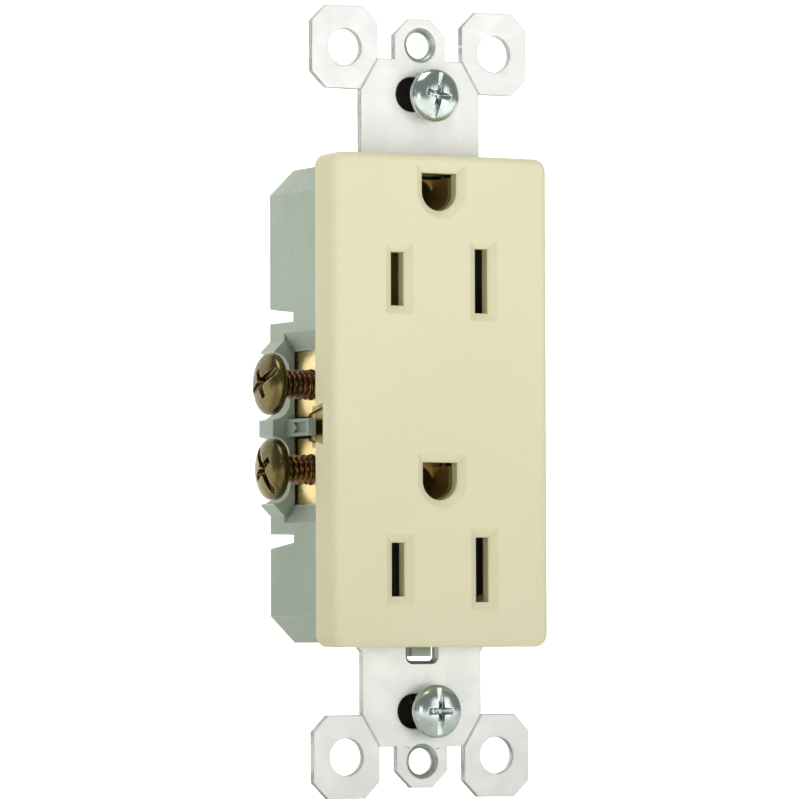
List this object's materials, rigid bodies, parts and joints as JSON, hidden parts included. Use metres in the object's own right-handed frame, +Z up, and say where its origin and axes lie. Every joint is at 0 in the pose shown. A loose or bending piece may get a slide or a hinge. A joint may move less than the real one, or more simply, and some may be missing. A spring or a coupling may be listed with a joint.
{
  "type": "duplex wall outlet",
  "caption": "Rectangular-face duplex wall outlet with a steel mounting strap, grey-green back body, side screw terminals and captive mounting screws.",
  "frame": {"origin": "centre of the mounting strap's rear face, midway between the two box screw slots", "axes": "+X to the right seen from the front, the face looks along -Y, +Z up along the strap"},
  "size_m": [0.0396, 0.0241, 0.1066],
  "materials": {
    "face_cover": "smooth moulded ivory, satin",
    "back_body": "grey-green moulded, satin",
    "strap_steel": "galvanised, fine spangle",
    "brass_strip": "stamped, bright rolled surface",
    "nickel_strip": "nickel-plated stamping",
    "brass_screw": "aged brass plate, darker in the recess",
    "nickel_screw": "nickel plate",
    "zinc_screw": "bright zinc plate",
    "green_screw": "green dyed plate",
    "spring_steel": "rolled spring strip",
    "fibre": "pressed fibre"
  },
  "bodies": {
    "device": {"back_body": "back_body", "face_cover": "face_cover", "ground_contact_strip": "brass_strip", "hot_bus": "brass_strip", "lower_ground_rivet": "brass_strip", "lower_hot_wire_clip": "spring_steel", "lower_left_assembly_screw": "zinc_screw", "lower_neutral_wire_clip": "spring_steel", "lower_right_assembly_screw": "zinc_screw", "mounting_strap": "strap_steel", "neutral_bus": "nickel_strip", "upper_ground_rivet": "brass_strip", "upper_hot_wire_clip": "spring_steel", "upper_left_assembly_screw": "zinc_screw", "upper_neutral_wire_clip": "spring_steel", "upper_right_assembly_screw": "zinc_screw"},
    "upper_retainer": {"upper_screw_retainer": "fibre"},
    "upper_mounting": {"upper_mounting_screw": "zinc_screw"},
    "lower_retainer": {"lower_screw_retainer": "fibre"},
    "lower_mounting": {"lower_mounting_screw": "zinc_screw"},
    "upper_hot_terminal": {"upper_hot_screw": "brass_screw"},
    "lower_hot_terminal": {"lower_hot_screw": "brass_screw"},
    "upper_neutral_terminal": {"upper_neutral_screw": "nickel_screw"},
    "lower_neutral_terminal": {"lower_neutral_screw": "nickel_screw"},
    "ground_terminal": {"ground_screw": "green_screw"}
  },
  "joints": [
    {"name": "upper_screw_slide", "type": "slide", "parent": "device", "child": "upper_mounting", "axis": [0, 1, 0], "range_m": [0, 0.0013]},
    {"name": "upper_retainer_spin", "type": "hinge", "parent": "upper_mounting", "child": "upper_retainer", "pos_m": [0.0012, -0.00255, 0.04147], "axis": [0, 1, 0], "continuous": true},
    {"name": "lower_screw_slide", "type": "slide", "parent": "device", "child": "lower_mounting", "axis": [0, 1, 0], "range_m": [0, 0.0013]},
    {"name": "lower_retainer_spin", "type": "hinge", "parent": "lower_mounting", "child": "lower_retainer", "pos_m": [0.0012, -0.00255, -0.04167], "axis": [0, 1, 0], "continuous": true},
    {"name": "upper_hot_screw_travel", "type": "slide", "parent": "device", "child": "upper_hot_terminal", "axis": [1, 0, 0], "range_m": [0, 0.0051]},
    {"name": "upper_neutral_screw_travel", "type": "slide", "parent": "device", "child": "upper_neutral_terminal", "axis": [-1, 0, 0], "range_m": [0, 0.0051]},
    {"name": "lower_hot_screw_travel", "type": "slide", "parent": "device", "child": "lower_hot_terminal", "axis": [1, 0, 0], "range_m": [0, 0.0048]},
    {"name": "lower_neutral_screw_travel", "type": "slide", "parent": "device", "child": "lower_neutral_terminal", "axis": [-1, 0, 0], "range_m": [0, 0.0048]},
    {"name": "ground_screw_travel", "type": "slide", "parent": "device", "child": "ground_terminal", "axis": [-1, 0, 0], "range_m": [0, 0.0034]}
  ]
}
